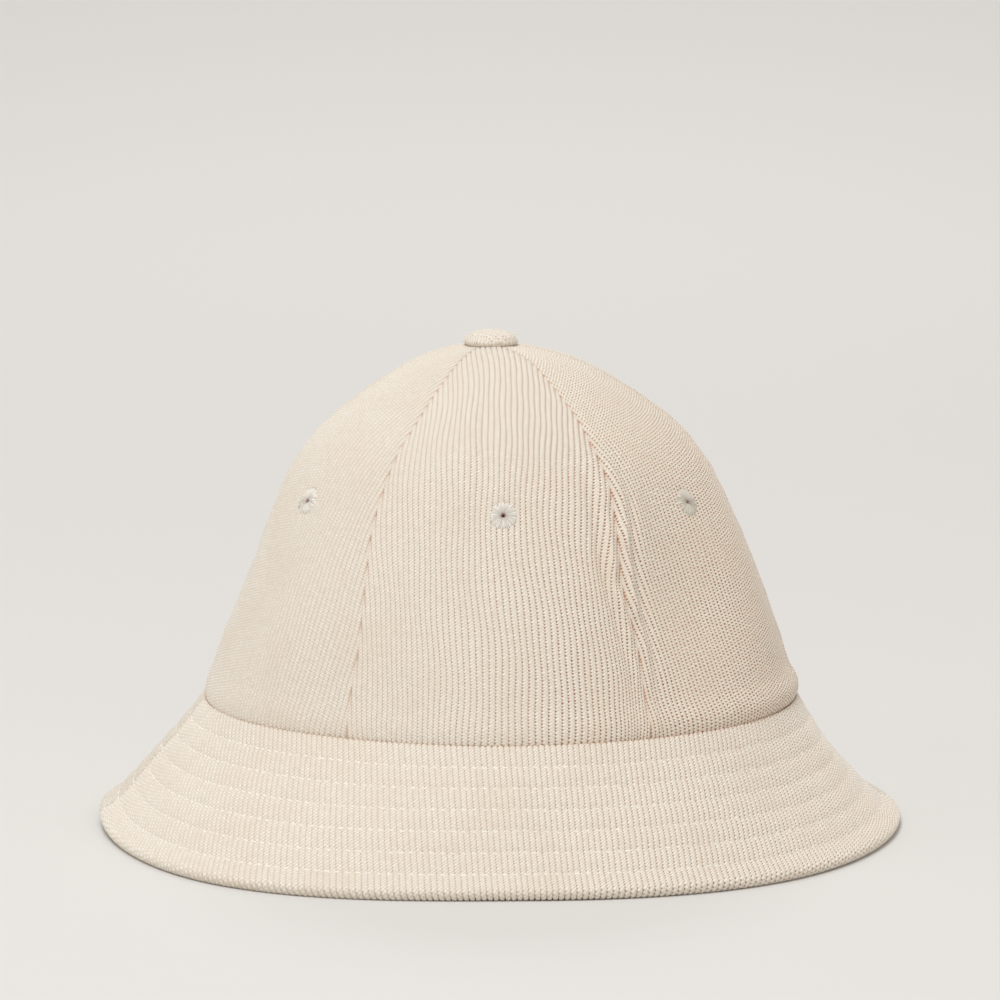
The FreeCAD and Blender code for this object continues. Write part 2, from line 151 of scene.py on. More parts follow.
def brim_curve():
    """From the crown seam down the brim and round its turned edge, and the slope that grounds the edge."""
    run = np.linspace(0, BRIM_RUN + math.pi * EDGE_ROLL, 500)
    step = run[1] - run[0]

    def lay(slope):
        """Radii and heights of the brim at a slope."""
        ease = FLARE_EASE * smooth((run - BRIM_RUN + BRIM_FLARE) / BRIM_FLARE)
        roll = np.clip((run - BRIM_RUN) / EDGE_ROLL, 0, math.pi)
        angle = slope - ease + roll
        radius = SEAM_RADIUS + np.concatenate([[0], np.cumsum(np.cos(angle[:-1]))]) * step
        height = SEAM_HEIGHT - np.concatenate([[0], np.cumsum(np.sin(angle[:-1]))]) * step
        return radius, height

    flatter, steeper = math.radians(30), math.radians(70)
    for _ in range(40):
        middle = (flatter + steeper) / 2
        if lay(middle)[1].min() > EDGE_CLEARANCE:
            flatter = middle
        else:
            steeper = middle
    return Curve(*lay(flatter)), flatter


CROWN = crown_curve()
BRIM, BRIM_SLOPE = brim_curve()


# ---------------- shape of the soft hat

def full_turn(count):
    """Angles evenly round a circle."""
    return np.linspace(0, 2 * math.pi, count, endpoint=False)


def point_at(bearing, reach, height, shift=0):
    """Points by bearing from the front, distance from the axis and height; shift moves them along X."""
    parts = np.broadcast_arrays(reach * np.sin(bearing) + shift, -reach * np.cos(bearing), height)
    return np.stack(parts, axis=-1)


def turn_between(a, b):
    """Signed angle from b to a, from -pi to pi."""
    return (a - b + math.pi) % (2 * math.pi) - math.pi


def from_bearing(bearing, degrees, wide):
    """A smooth bump of height 1 round one bearing; both angles in degrees."""
    return bell(turn_between(bearing, math.radians(degrees)), np.radians(wide))


def patch(bearing, run, at_bearing, at_run, wide, tall):
    """A smooth patch of height 1 on the crown, centred at a bearing in degrees and a run from the apex."""
    across = turn_between(bearing, math.radians(at_bearing)) * SEAM_RADIUS * 0.8
    return bell(across, wide) * bell(run - at_run, tall)


# Where the worn crown stands out or in: lift, bearing in degrees, run from the apex, half-width, half-height.
CROWN_PATCHES = {
    "dent, front right": (-3.4 * MM, 47, 120 * MM, 19 * MM, 25 * MM),
    "bulge beside the dent": (0.9 * MM, 34, 95 * MM, 7 * MM, 20 * MM),
    "crease, front": (-0.7 * MM, -5, 70 * MM, 3.5 * MM, 40 * MM),
    "hollow, left": (-2.4 * MM, -95, 118 * MM, 40 * MM, 26 * MM),
}


def crown_shape(bearing, run):
    """How far the worn cloth stands off the turned shape: slow waves, patches and a flatter shoulder."""
    lift = 0.5 * MM * np.sin(3 * bearing + 1.1) * np.sin(run / (26 * MM))
    lift += 0.35 * MM * np.sin(7 * bearing + run / (19 * MM)) * smooth(run / (60 * MM))
    for out, at_bearing, at_run, wide, tall in CROWN_PATCHES.values():
        lift += out * patch(bearing, run, at_bearing, at_run, wide, tall)
    return lift - 2.0 * MM * bell(run - 45 * MM, 21 * MM)


def crown_drift(bearing, run):
    """How far round the cloth lies from its pattern: slow waves, two pulled seams and wales that fan out."""
    waves = 0.32 * np.sin(run / (9 * MM) + 9 * bearing) + 0.15 * np.sin(run / (4.1 * MM) - 23 * bearing)
    waves += 0.3 * from_bearing(bearing, 28, 9) * np.sin(run / (6.4 * MM))
    left_pull = 3.8 * from_bearing(bearing, -32, 15) * smooth((run - 95 * MM) / (45 * MM))
    right_pull = 2.2 * from_bearing(bearing, 28, 12) * bell(run - 76 * MM, 24 * MM)
    wide = np.where(bearing < math.radians(17), 24, 9)
    fanned = 7.5 * from_bearing(bearing, 17, wide) * smooth((run - 88 * MM) / (62 * MM))
    return MM * (waves + left_pull + right_pull + fanned) * smooth(run / (60 * MM))


def crown_point(bearing, run, lift):
    """A point of the crown, lifted off the turned shape; the very top leans over."""
    radius, height, out_r, out_z = CROWN.at(run)
    lift = lift + crown_shape(bearing, run)
    bearing = bearing + crown_drift(bearing, run) / np.maximum(radius, MM)
    return point_at(bearing, radius + lift * out_r, height + lift * out_z, APEX_LEAN * bell(run, 24 * MM))


def brim_rise(bearing, run):
    """How far the worn brim's edge stands off the ground, mostly at the stiff side seams."""
    grow = smooth(run / BRIM_RUN)
    sides = 0.3 * from_bearing(bearing, 90, 14) + 2.2 * from_bearing(bearing, -90, 14)
    waves = 0.5 + 0.5 * np.sin(5 * bearing + 0.6) * np.cos(2 * bearing)
    low_tip = 1.2 * from_bearing(bearing, 98, 14) * bell(run - BRIM_RUN + 5 * MM, 7 * MM)
    return grow * MM * (sides + 0.15 * waves - low_tip)


def brim_sag(bearing, run):
    """How far the worn brim stands off its straight slope: hollow at the sides, creased in front, rippled."""
    middle = np.sin(math.pi * np.clip(run / BRIM_RUN, 0, 1))
    sag = -0.4 * from_bearing(bearing, -90, 40) - 2.3 * from_bearing(bearing, 90, 42)
    crease = 0.55 * from_bearing(bearing, 2.5, 2.6) * smooth(run / (14 * MM))
    ripple = 0.25 * np.sin(9 * bearing + run / (9 * MM)) + 0.15 * np.sin(17 * bearing - run / (6 * MM))
    return MM * middle * (sag + ripple + crease)


def brim_spread(bearing, run):
    """How far the worn brim's edge lies outside its circle: out at both front corners, in between them."""
    corners = 8.0 * from_bearing(bearing, -36, 24) + 4.8 * from_bearing(bearing, 38, 25)
    return MM * (corners - 1.5 * from_bearing(bearing, 0, 14)) * smooth(run / BRIM_RUN)


def brim_point(bearing, run, lift):
    """A point of the brim, lifted off the turned shape."""
    radius, height, out_r, out_z = BRIM.at(run)
    lift = lift + brim_sag(bearing, run)
    reach = radius + lift * out_r + brim_spread(bearing, run)
    rise = height + lift * out_z + brim_rise(bearing, run)
    return point_at(bearing, reach, rise)


# ---------------- meshes

def make_mesh(name, points, faces, uvs=None, materials=(), face_materials=None, to_seam=None):
    """A mesh in the scene. faces are quads, where a triangle repeats its last corner.

    uvs are the points' places on the flat cloth, to_seam is each point's way to the nearest seam.
    """
    faces = np.asarray(faces)
    mesh = bpy.data.meshes.new(name)
    is_triangle = faces[:, 2] == faces[:, 3]
    sizes = np.where(is_triangle, 3, 4)
    keep = np.ones(faces.shape, bool)
    keep[is_triangle, 3] = False
    corners = faces[keep]
    mesh.vertices.add(len(points))
    mesh.vertices.foreach_set("co", np.asarray(points, np.float32).ravel())
    mesh.loops.add(len(corners))
    mesh.loops.foreach_set("vertex_index", corners.astype(np.int32))
    mesh.polygons.add(len(faces))
    mesh.polygons.foreach_set("loop_start", np.concatenate([[0], np.cumsum(sizes)[:-1]]).astype(np.int32))
    mesh.polygons.foreach_set("use_smooth", np.ones(len(faces), bool))
    if face_materials is not None:
        mesh.polygons.foreach_set("material_index", np.asarray(face_materials, np.int32))
    mesh.update(calc_edges=True)
    layers = {}
    if uvs is not None:
        layers["cloth"] = uvs
    if to_seam is not None:
        layers["seam"] = np.stack([to_seam / MM, to_seam * 0], axis=-1)
    for layer_name, pair in layers.items():
        layer = mesh.uv_layers.new(name=layer_name)
        layer.data.foreach_set("uv", np.asarray(pair, np.float32)[corners].ravel())
    mesh.validate()
    thing = bpy.data.objects.new(name, mesh)
    bpy.context.scene.collection.objects.link(thing)
    for material in materials:
        mesh.materials.append(material)
    return thing


def tidy_mesh(name, points, faces, uvs, materials, to_seam=None):
    """A mesh without the points that no face uses."""
    live, packed = np.unique(faces, return_inverse=True)
    uvs = None if uvs is None else uvs[live]
    to_seam = None if to_seam is None else to_seam[live]
    return make_mesh(name, points[live], packed.reshape(faces.shape), uvs, materials, None, to_seam)


def finish_piece(piece, node):
    """Tie a piece to the hat and hide the CAD node that it stands for."""
    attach(piece, HAT)
    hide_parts(node)


def grid_faces(ids):
    """Quads over a grid of vertex numbers; cells that collapse become triangles or vanish."""
    quads = np.stack([ids[:-1, :-1], ids[1:, :-1], ids[1:, 1:], ids[:-1, 1:]], axis=-1).reshape(-1, 4)
    closed = quads == np.roll(quads, -1, axis=1)
    kinds = [quads[~closed.any(axis=1)]]
    # A cell with one side of no length becomes a triangle of its other corners.
    for side, corners in enumerate(([1, 2, 3, 3], [0, 1, 3, 3], [0, 1, 2, 2], [0, 1, 2, 2])):
        alone = closed[:, side] & (closed.sum(axis=1) == 1)
        kinds.append(quads[alone][:, corners])
    return np.concatenate(kinds)


def ring_ids(around_count, section_count, closed_section):
    """Point numbers of a grid that closes round the axis, and over its section where that is closed."""
    ids = np.arange(around_count * section_count).reshape(around_count, section_count)
    return np.pad(ids, ((0, 1), (0, int(closed_section))), mode="wrap")


def wall_faces(faces, count):
    """Quads round the borders of an outer face, to an inner face with point numbers higher by count."""
    edges = []
    for quad in faces.tolist():
        ring = quad[:3] if quad[2] == quad[3] else quad
        edges.extend(zip(ring, ring[1:] + ring[:1]))
    known = set(edges)
    border = np.array([edge for edge in edges if (edge[1], edge[0]) not in known])
    return np.stack([border[:, 1], border[:, 0], border[:, 0] + count, border[:, 1] + count], axis=-1)


def cloth_shell(name, across, levels, start, place, relief, thickness, materials, hole=None, to_seam=None):
    """A thin closed shell of cloth, laid out as a grid on the flat cloth.

    across are the columns' places over the wales, levels the rows' places along them. start(across) is where
    each column begins; place(across, along, lift) gives points; relief(across, along) is the outer face's
    height; hole(across, along) is true where the cloth is cut out; to_seam(across, along) is the way to the
    nearest seam.
    """
    # The rows that lie before a column's start collapse into its first point.
    begin = start(across)
    along = np.maximum(levels[None, :], begin[:, None])
    column = np.broadcast_to(across[:, None], along.shape)
    first = np.argmax(levels[None, :] > begin[:, None] + TINY, axis=1) - 1
    first = np.maximum(first, 0)
    rows = np.arange(len(levels))[None, :]
    ids = np.maximum(rows, first[:, None]) + np.arange(len(across))[:, None] * len(levels)
    used, packed = np.unique(ids, return_inverse=True)
    ids = packed.reshape(ids.shape)
    column, along = column.ravel()[used], along.ravel()[used]
    faces = grid_faces(ids)
    if hole is not None:
        cut = hole(column, along)
        faces = faces[~cut[faces].any(axis=1)]
    # The outer and the inner face, and walls between them round every border.
    outer = place(column, along, relief(column, along))
    inner = place(column, along, np.full(len(column), -thickness))
    count = len(outer)
    walls = wall_faces(faces, count)
    back = faces[:, [0, 3, 2, 1]] + count
    triangle = faces[:, 2] == faces[:, 3]
    back[triangle] = faces[triangle][:, [0, 2, 1, 1]] + count
    all_faces = np.concatenate([faces, back, walls])
    kinds = np.concatenate([np.zeros(len(faces)), np.ones(len(back)), np.zeros(len(walls))])
    uvs = np.stack([column / WALE, along / WALE], axis=-1)
    # Only the points that a face uses are kept.
    live = np.unique(all_faces)
    renumber = np.full(2 * count, -1)
    renumber[live] = np.arange(len(live))
    way = None if to_seam is None else np.tile(to_seam(column, along), 2)[live]
    return make_mesh(name, np.concatenate([outer, inner])[live], renumber[all_faces],
                     np.concatenate([uvs, uvs])[live], materials, kinds, way)


def wale_columns(half_width, steps=WALE_STEPS):
    """Columns over the wales from -half_width to half_width, with every groove on a column."""
    count = int(half_width / WALE) + 1
    wales = np.arange(-count, count)
    columns = (wales[:, None] + np.array(steps)[None, :]).ravel() * WALE
    least_step = 0.02 * MM
    inside = columns[np.abs(columns) < half_width - least_step]
    return np.concatenate([[-half_width], inside, [half_width]])


def wale_height(across):
    """Broad round ridges with narrow grooves between."""
    place = np.abs(2 * ((across / WALE) % 1) - 1)
    return WALE_RISE * (1 - place ** 4)


def groove_share(across):
    """0 on a ridge's top, 1 at the bottom of a groove."""
    return 1 - wale_height(across) / WALE_RISE


# ---------------- materials

class Nodes:
    """A short way to write a material's node graph."""

    def __init__(self, name):
        self.material = bpy.data.materials.new(name)
        self.material.use_nodes = True
        self.tree = self.material.node_tree
        self.shader = self.tree.nodes["Principled BSDF"]

    def add(self, kind, inputs=(), **settings):
        """A node with its settings, and its inputs by name or number."""
        node = self.tree.nodes.new(kind)
        for key, value in settings.items():
            setattr(node, key, value)
        for key, value in dict(inputs).items():
            self.feed(node.inputs[key], value)
        return node

    def feed(self, socket, value):
        """Link a socket to another node's output, or set its own value."""
        if isinstance(value, bpy.types.NodeSocket):
            self.tree.links.new(value, socket)
        else:
            socket.default_value = value

    def math(self, operation, *values, clamp=False):
        """One step of arithmetic."""
        node = self.add("ShaderNodeMath", operation=operation, use_clamp=clamp)
        for socket, value in zip(node.inputs, values):
            self.feed(socket, value)
        return node.outputs[0]

    def ramp(self, value, low, high):
        """0 below low, 1 above high, smooth between."""
        node = self.add("ShaderNodeMapRange", {"Value": value, "From Min": low, "From Max": high},
                        interpolation_type="SMOOTHSTEP")
        return node.outputs["Result"]

    def mix(self, factor, first, second):
        """The first colour where the factor is 0, the second where it is 1."""
        node = self.add("ShaderNodeMix", {"Factor": factor, 6: first, 7: second}, data_type="RGBA")
        return node.outputs[2]

    def noise(self, vector, scale, detail=2.0, roughness=0.5):
        """Soft random spots, from 0 to 1."""
        node = self.add("ShaderNodeTexNoise", {"Vector": vector, "Scale": scale, "Detail": detail,
                                               "Roughness": roughness})
        return node.outputs["Fac"]

    def cloth_uv(self):
        """The flat cloth's coordinates, counted in wales: a vector, across and along."""
        vector = self.add("ShaderNodeUVMap", uv_map="cloth").outputs["UV"]
        split = self.add("ShaderNodeSeparateXYZ", {"Vector": vector})
        return vector, split.outputs["X"], split.outputs["Y"]

    def near_seam(self, low, high):
        """1 at a seam, 0 at a distance of high millimetres and more."""
        vector = self.add("ShaderNodeUVMap", uv_map="seam").outputs["UV"]
        return self.ramp(self.add("ShaderNodeSeparateXYZ", {"Vector": vector}).outputs["X"], high, low)

    def place(self):
        """The point on the object, in metres."""
        return self.add("ShaderNodeTexCoord").outputs["Object"]

    def stretch(self, vector, scale):
        """A vector with its parts scaled."""
        return self.add("ShaderNodeMapping", {"Vector": vector, "Scale": scale}).outputs["Vector"]

    def bump(self, height, distance, strength):
        """Relief that only the light sees."""
        node = self.add("ShaderNodeBump", {"Height": height, "Distance": distance, "Strength": strength})
        self.tree.links.new(node.outputs["Normal"], self.shader.inputs["Normal"])

    def surface(self, **values):
        """The shader's own sockets, named with _ for a space."""
        for key, value in values.items():
            self.feed(self.shader.inputs[key.replace("_", " ")], value)


def colour(red, green, blue):
    """A linear colour from the usual 0 to 255 values."""
    def linear(value):
        value /= 255
        return value / 12.92 if value <= 0.04045 else ((value + 0.055) / 1.055) ** 2.4
    return (linear(red), linear(green), linear(blue), 1.0)


# The corduroy's colours.
PILE_PALE = colour(249, 247, 241)
PILE_SHADE = colour(235, 229, 217)
CORD = colour(214, 197, 174)
TUFTS = colour(216, 205, 189)
SHADE_TAN = colour(236, 214, 182)
GROOVE = colour(243, 233, 217)
PATCHES = colour(222, 202, 178)
SEAM_SHADE_TINT = colour(206, 146, 108)


def worn_shaded_ridges(make, vector, across, beat, side, shaded_ridges):
    """The ridges' colour and relief: fuzz, the cord's slanting threads, worn tufts, and painted shade in tan
    towards the wearer's left.
    """
    fuzz = make.noise(make.stretch(vector, (3.0, 1.0, 1.0)), 4.0, 5.0, 0.7)
    slant = make.math("MULTIPLY_ADD", make.math("FRACT", across), 0.6, beat)
    cord = make.math("MULTIPLY_ADD", make.math("SINE", make.math("MULTIPLY", slant, 2 * math.pi)), 0.5, 0.5)
    ridge = make.mix(make.ramp(fuzz, 0.3, 0.72), PILE_SHADE, PILE_PALE)
    ridge = make.mix(make.math("MULTIPLY", cord, 0.75), ridge, CORD)
    tufts = make.noise(vector, 0.8, 3.0, 0.7)
    ridge = make.mix(make.math("MULTIPLY", make.ramp(tufts, 0.38, 0.66), 0.34), ridge, TUFTS)
    # Painted shade: the pile turns tan towards the wearer's left, away from the key light.
    ridge_shade = make.math("MULTIPLY", make.ramp(side, 0.0, 80 * MM), shaded_ridges)
    relief = make.math("MULTIPLY_ADD", fuzz, 0.6, make.math("MULTIPLY", cord, -0.7))
    return make.mix(ridge_shade, ridge, SHADE_TAN), relief


def corduroy(name, shaded_grooves, shaded_ridges, ground_and_shade):
    """Ecru corduroy: pale fuzzy ridges, and grooves where the ground weave shows as rows of tan beads.

    Towards the wearer's left, on the side away from the key light, shade is painted in: the grooves grow
    wider and darker and the pile turns tan; the two numbers after the name say by how much. The last argument
    is the grooves' dark tan, partly the ground weave's own colour and partly painted shade.
    """
    make = Nodes(name)
    vector, across, along = make.cloth_uv()
    # Rows of beads, shifted from one wale to the next.
    to_groove = make.math("ABSOLUTE", make.math("MULTIPLY_ADD", make.math("FRACT", across), 2.0, -1.0))
    wobble = make.noise(vector, 1.1, 2.0)
    wale = make.math("FLOOR", make.math("ADD", across, 0.5))
    beat = make.math("MULTIPLY_ADD", along, BEADS, make.math("MULTIPLY_ADD", wale, 0.37, wobble))
    bead = make.ramp(make.math("SINE", make.math("MULTIPLY", beat, 2 * math.pi)), -0.45, 0.75)
    side = make.add("ShaderNodeSeparateXYZ", {"Vector": make.place()}).outputs["X"]
    # Painted shade: towards the wearer's left, away from the key light, the grooves grow wider and darker.
    groove_shade = make.math("MULTIPLY_ADD", make.ramp(side, -60 * MM, 120 * MM), shaded_grooves, 0.57)
    wider = make.math("MULTIPLY_ADD", groove_shade, 0.4, -0.32)
    groove = make.math("ADD", make.math("MULTIPLY_ADD", bead, 0.2, to_groove), wider)
    groove = make.math("MULTIPLY", make.ramp(groove, 0.8, 1.12), groove_shade, clamp=True)
    # Grooves and ridges, with patches all over and painted warm shade where the grooves run into a seam.
    ridge, relief = worn_shaded_ridges(make, vector, across, beat, side, shaded_ridges)
    # The grooves hold rows of pale beads over a dark tan: partly the ground weave's own colour, partly
    # painted shade in the grooves, with painted light on the bead tops.
    cloth = make.mix(groove, ridge, make.mix(bead, GROOVE, ground_and_shade))
    patchy = make.noise(make.place(), 60.0, 4.0)
    cloth = make.mix(make.math("MULTIPLY", make.ramp(patchy, 0.4, 0.65), 0.16), cloth, PATCHES)
    # Painted shade: a warm brown in the grooves next to a seam, stronger towards the wearer's left.
    seam_shade = make.math("MULTIPLY", make.near_seam(0.1, 1.2), make.ramp(to_groove, 0.2, 0.9))
    seam_shade = make.math("MULTIPLY", seam_shade, make.math("MULTIPLY", groove_shade, 0.45), clamp=True)
    cloth = make.mix(seam_shade, cloth, SEAM_SHADE_TINT)
    make.bump(relief, 0.16 * MM, 0.8)
    make.surface(Base_Color=cloth, Roughness=0.92, Sheen_Weight=0.4, Sheen_Roughness=0.4,
                 Specular_IOR_Level=0.15)
    return make.material


def woven(name, light, dark, threads, twill=0.0, roughness=0.85, sheen=0.1, bump=0.08):
    """A plain or twill weave of the given threads per UV unit."""
    make = Nodes(name)
    vector, across, along = make.cloth_uv()
    warp = make.math("SINE", make.math("MULTIPLY", across, math.pi * threads))
    slide = make.math("MULTIPLY", across, math.pi * threads * twill)
    weft = make.math("SINE", make.math("ADD", make.math("MULTIPLY", along, math.pi * threads), slide))
    weave = make.math("MULTIPLY_ADD", make.math("MULTIPLY", warp, weft), 0.5, 0.5)
    fuzz = make.noise(vector, threads * 1.5, 4.0, 0.65)
    patchy = make.noise(make.place(), 30.0, 3.0)
    shade = make.math("ADD", make.math("MULTIPLY", weave, 0.55), make.math("MULTIPLY", fuzz, 0.45))
    base = make.mix(make.ramp(shade, 0.2, 0.75), dark, light)
    base = make.mix(make.math("MULTIPLY", make.ramp(patchy, 0.4, 0.7), 0.12), base, dark)
    make.bump(shade, bump * MM, 0.9)
    make.surface(Base_Color=base, Roughness=roughness, Sheen_Weight=sheen, Specular_IOR_Level=0.2)
    return make.material


def thread(name, light, dark, roughness):
    """Twisted sewing thread."""
    make = Nodes(name)
    strands = make.noise(make.place(), 2400.0, 3.0)
    make.bump(strands, 0.05 * MM, 0.7)
    base = make.mix(make.ramp(strands, 0.3, 0.7), dark, light)
    make.surface(Base_Color=base, Roughness=roughness, Sheen_Weight=0.15)
    return make.material


def embroidery():
    """Buttonhole thread laid outwards from the hole: a unit of u is a thread, v is 0 at the hole."""
    make = Nodes("embroidery")
    vector, around, outward = make.cloth_uv()
    strand = make.math("ABSOLUTE", make.math("SINE", make.math("MULTIPLY", around, math.pi)))
    each = make.noise(make.stretch(vector, (1.0, 0.15, 1.0)), 0.9, 1.0)
    fuzz = make.noise(vector, 3.0, 3.0)
    shade = make.math("MULTIPLY_ADD", fuzz, 0.35, make.math("MULTIPLY", strand, 0.6))
    make.bump(shade, 0.14 * MM, 0.9)
    thread_colour = make.mix(make.ramp(each, 0.35, 0.65), colour(222, 216, 204), colour(250, 248, 243))
    base = make.mix(make.ramp(shade, 0.1, 0.6), colour(186, 172, 155), thread_colour)
    # Painted shade: towards the hole the thread turns reddish brown, for the dark throat of the hole.
    base = make.mix(make.ramp(outward, 0.2, 0.04), base, colour(200, 140, 126))
    # The eyelets on the wearer's left are greyer.
    side = make.add("ShaderNodeSeparateXYZ", {"Vector": make.place()}).outputs["X"]
    greyer_leftwards = make.math("MULTIPLY", make.ramp(side, 20 * MM, 70 * MM), 0.5)
    base = make.mix(greyer_leftwards, base, colour(192, 182, 164))
    make.surface(Base_Color=base, Roughness=0.65, Sheen_Weight=0.2)
    return make.material


def metal():
    """Tinned sheet with fine turning marks and dull spots."""
    make = Nodes("button_metal")
    place = make.place()
    marks = make.noise(make.stretch(place, (1.0, 1.0, 0.1)), 900.0, 3.0)
    dull = make.noise(place, 260.0, 4.0)
    make.bump(marks, 0.02 * MM, 0.6)
    base = make.mix(make.ramp(dull, 0.35, 0.7), (0.62, 0.61, 0.58, 1), (0.48, 0.46, 0.43, 1))
    make.surface(Base_Color=base, Metallic=1.0, Roughness=make.math("MULTIPLY_ADD", dull, 0.35, 0.22))
    return make.material


# Two copies of the corduroy: the crown's paints deeper shade on the wearer's left and a darker groove tan;
# the brim's, which faces up to the light, paints less.
CORDUROY = corduroy("corduroy", 0.78, 0.18, colour(148, 82, 48))
BRIM_CORDUROY = corduroy("corduroy_brim", 0.34, 0.0, colour(158, 104, 74))
CORDUROY_BACK = woven("corduroy_back", colour(232, 220, 200), colour(205, 188, 162), 5.0)
TAPE = woven("seam_tape", colour(226, 212, 188), colour(190, 170, 140), 4.0)
TWILL = woven("sweatband_twill", colour(228, 214, 192), colour(188, 168, 140), 2.6, twill=0.5)
INTERLINING = woven("interlining", colour(236, 234, 228), colour(215, 210, 200), 3.0)
SATIN = woven("label_satin", colour(244, 242, 238), colour(222, 218, 210), 5.0,
              roughness=0.45, sheen=0.3, bump=0.03)
THREAD_COTTON = thread("sewing_thread", colour(255, 252, 246), colour(236, 228, 212), 0.7)
EMBROIDERY = embroidery()
METAL = metal()


# ---------------- crown

PANEL_HALF = math.radians(30)
EYELET_LOW, EYELET_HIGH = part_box("eyelet_front")
EYELET_RADIUS = -(EYELET_LOW.y + EYELET_HIGH.y) / 2 + 0.3 * MM      # its middle, on the panel's face
EYELET_RUN = float(CROWN.run_at_radius(EYELET_RADIUS)) + 1.2 * MM   # sewn a little lower than drawn
EYELET_CUT = 1.9 * MM                                               # the cloth is cut away round its middle


def eyelet_across(name):
    """How far off its panel's centre line each eyelet was sewn."""
    return {"front": 3.6 * MM, "front_left": 4.0 * MM, "front_right": -1.6 * MM}.get(name, 0.8 * MM)


def panel_start(across):
    """Where a wale leaves the seam, as a run from the apex."""
    return np.maximum(CROWN.run_at_radius(np.abs(across) / PANEL_HALF), APEX_GAP)


def make_panel(name, bearing):
    """One crown panel, its wales parallel to its centre line."""
    centre = math.radians(bearing) + CROWN_TWIST
    half_width = SEAM_RADIUS * PANEL_HALF
    dome_end = 70 * MM
    to_foot = np.array([6, 4.5, 3.4, 2.5, 1.8, 1.2, 0.7, 0.3, 0]) * MM
    levels = np.unique(np.concatenate([np.arange(APEX_GAP, dome_end, 1.0 * MM),
                                       np.arange(dome_end, CROWN.length - to_foot[0], 2.0 * MM),
                                       CROWN.length - to_foot]))

    def place(across, along, lift):
        radius = CROWN.at(along)[0]
        return crown_point(centre + across / radius, along, lift)

    def seam_ways(across, along):
        """The ways to the panel's side seam and to the crown seam."""
        return CROWN.at(along)[0] * PANEL_HALF - np.abs(across), CROWN.length - along

    def to_seam(across, along):
        return np.minimum(*seam_ways(across, along))

    def to_eyelet(across, along):
        return np.hypot(across - eyelet_across(name), along - EYELET_RUN)

    def relief(across, along):
        """Wales, drawn in along the seams; a fuller foot; puckers and gathered folds at the sides."""
        to_side, to_foot = seam_ways(across, along)
        drawn_in = 0.35 + 0.65 * groove_share(across)
        lift = wale_height(across)
        lift -= 0.22 * MM * drawn_in * bell(to_side, 0.5 * MM) * smooth(along / (12 * MM))
        lift -= 0.5 * MM * drawn_in * bell(to_foot, 0.7 * MM)
        bearing = centre + across / CROWN.at(along)[0]
        fullness = 0.45 + 1.1 * from_bearing(bearing, 75, 45)
        lift += fullness * MM * (bell(to_foot - 5 * MM, 4 * MM) - 0.4 * bell(to_foot, 1.6 * MM))
        gathered = from_bearing(bearing, 28, 12) * bell(along - 110 * MM, 28 * MM)
        phase = centre + np.sign(across)
        pucker = np.sin(along / (2.3 * MM) + 3 * phase) * np.sin(along / (9 * MM) + 5 * phase)
        folds = 0.25 + (0.15 + 0.6 * gathered) * pucker
        lift += folds * MM * bell(to_side - 2.6 * MM, 1.9 * MM) * smooth(along / (30 * MM))
        lift += 1.5 * MM * gathered * (bell(to_side - 3.2 * MM, 1.6 * MM) - bell(to_side - 7 * MM, 2 * MM))
        return lift - 0.5 * MM * bell(to_eyelet(across, along), 4 * MM)

    def hole(across, along):
        return to_eyelet(across, along) < EYELET_CUT

    panel = cloth_shell(f"panel_cloth_{name}", wale_columns(half_width), levels, panel_start, place, relief,
                        CLOTH, [CORDUROY, CORDUROY_BACK], hole, to_seam)
    finish_piece(panel, f"crown_panel_{name}")


def make_eyelet(name, bearing):
    """A ring of thread sewn radially round a small hole; no two of its threads are alike."""
    centre = math.radians(bearing) + CROWN_TWIST
    threads, per_thread, section = 40, 8, 26
    hole, throat, outside, height = 0.4 * MM, 0.18 * MM, 4.4 * MM, 0.85 * MM
    turn = full_turn(threads * per_thread)[:, None]
    over = full_turn(section)[None, :]
    wound = np.abs(np.sin(turn * threads / 2)) ** 0.7
    longer = np.repeat(rng.normal(0, 0.33, threads), per_thread)[:, None] * MM * wound
    higher = np.repeat(rng.normal(0, 0.08, threads), per_thread)[:, None] * MM
    middle, half = (hole + outside) / 2, (outside - hole) / 2
    reach = middle + half * np.cos(over) + (longer + 0.12 * MM * np.sin(3 * turn)) * smooth(np.cos(over))
    below = np.clip(-np.sin(over), 0, 1)
    reach -= (hole - throat) * below * (np.cos(over) < 0)
    upper = np.clip(np.sin(over), 0, 1) ** 0.75 * (height + higher + 0.16 * MM * wound)
    lift = upper - 1.9 * MM * below - 0.1 * MM
    bearings = centre + (eyelet_across(name) + reach * np.cos(turn)) / CROWN.at(EYELET_RUN)[0]
    points = crown_point(bearings, EYELET_RUN + reach * np.sin(turn), lift).reshape(-1, 3)
    ids = ring_ids(turn.size, section, True)
    outward = (reach - throat) / (outside - throat)
    uvs = np.stack(np.broadcast_arrays(turn * threads / (2 * math.pi), outward), axis=-1).reshape(-1, 2)
    ring = make_mesh(f"eyelet_thread_{name}", points, grid_faces(ids)[:, ::-1], uvs, [EMBROIDERY])
    finish_piece(ring, f"eyelet_{name}")


# ---------------- brim

BRIM_PLY_GAP = 0.15 * MM
STIFFENER = 0.6 * MM
UNDER_DEPTH = 2 * CLOTH + STIFFENER + 2 * BRIM_PLY_GAP
ROW_COUNT = 6
FIRST_ROW = 7.6 * MM
ROW_PITCH = 7.3 * MM
ROWS = FIRST_ROW + ROW_PITCH * np.arange(ROW_COUNT)
FLAT_RADIUS = SEAM_RADIUS / math.cos(BRIM_SLOPE)    # the crown seam's radius on the flat cut of the brim
FLAT_HALF = math.pi / 2 * math.cos(BRIM_SLOPE)      # half the angle that a half fills on its flat cut


def brim_start(across):
    """Where a wale begins on the flat cut of a brim half, as a run from the crown seam."""
    return np.maximum(np.abs(across) / math.sin(FLAT_HALF) - FLAT_RADIUS, 0)


